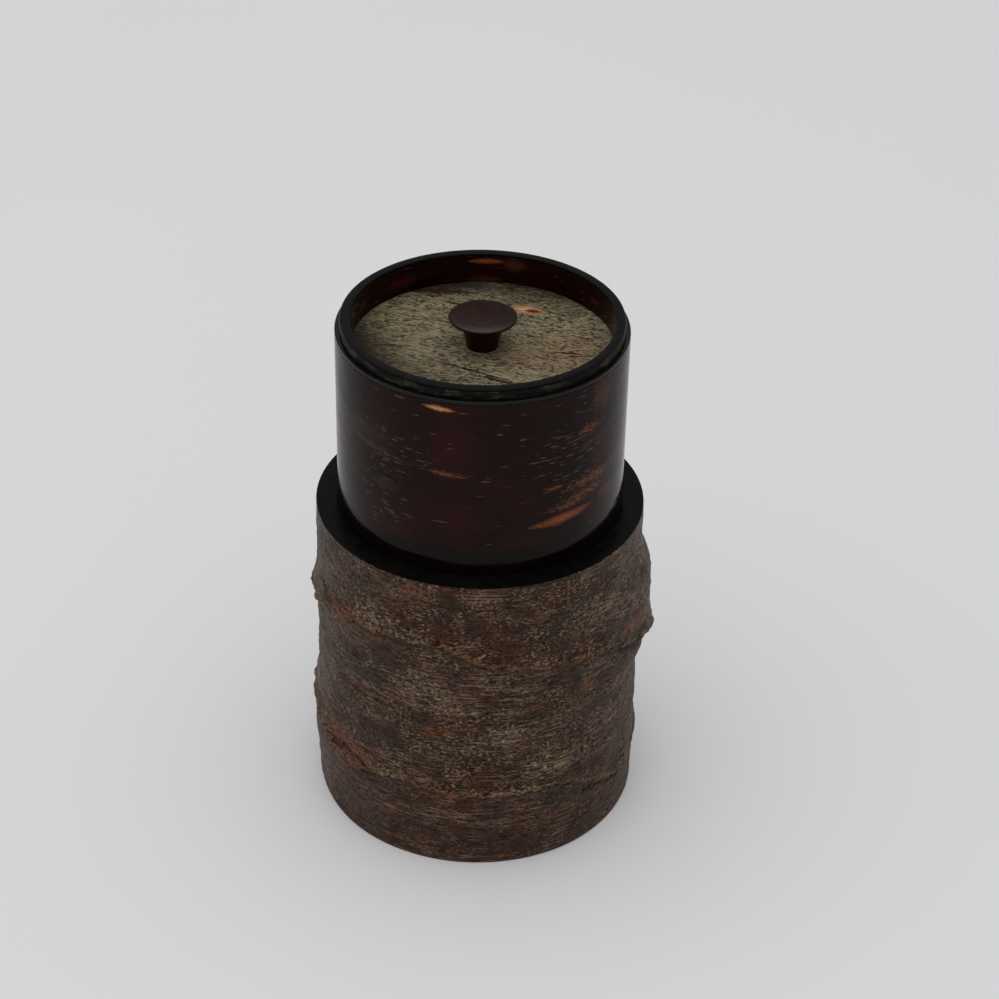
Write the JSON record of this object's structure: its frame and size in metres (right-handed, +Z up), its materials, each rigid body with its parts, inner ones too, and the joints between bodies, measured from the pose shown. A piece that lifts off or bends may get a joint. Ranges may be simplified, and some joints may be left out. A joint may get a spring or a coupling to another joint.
{
  "type": "tea caddy",
  "caption": "Cylindrical tea caddy in rough natural bark, with a standing polished-bark sleeve and a lift-off inner lid with a turned knob.",
  "frame": {"origin": "centre of the underside, on the surface that the caddy stands on", "axes": "+Z up along the caddy's axis, -Y towards the front, +X towards the knot in the bark"},
  "size_m": [0.0846, 0.0817, 0.1336],
  "materials": {
    "rough_bark": "rough natural bark, matt",
    "polished_bark": "bark scraped and polished to a high gloss",
    "frosted_bark": "bark with its frosted outer skin left on, satin",
    "black_lacquer": "black lacquer, glossy",
    "veneer_wood": "plain veneer, unfinished",
    "knob_bark": "stacked bark, turned and polished"
  },
  "bodies": {
    "caddy": {"bark_jacket": "rough_bark", "body_wrap_outer": "veneer_wood", "body_wrap_inner": "veneer_wood", "mouth_ring": "black_lacquer", "base_board": "veneer_wood", "base_bark": "polished_bark", "sleeve_bark": "polished_bark", "sleeve_core": "veneer_wood", "sleeve_lining": "polished_bark", "sleeve_rim": "black_lacquer", "inner_bottom_board": "veneer_wood", "inner_bottom_bark": "polished_bark"},
    "inner_lid": {"lid_ring": "black_lacquer", "lid_lip_bark": "frosted_bark", "lid_plug_core": "veneer_wood", "lid_plug_bark": "polished_bark", "lid_well_bark": "polished_bark", "lid_top_bark": "frosted_bark", "lid_board": "veneer_wood", "lid_under_bark": "polished_bark", "knob": "knob_bark", "knob_peg": "veneer_wood"}
  },
  "joints": [
    {"name": "inner_lid_lift", "type": "slide", "parent": "caddy", "child": "inner_lid", "axis": [0, 0, 1], "range_m": [0, 0.04]}
  ]
}
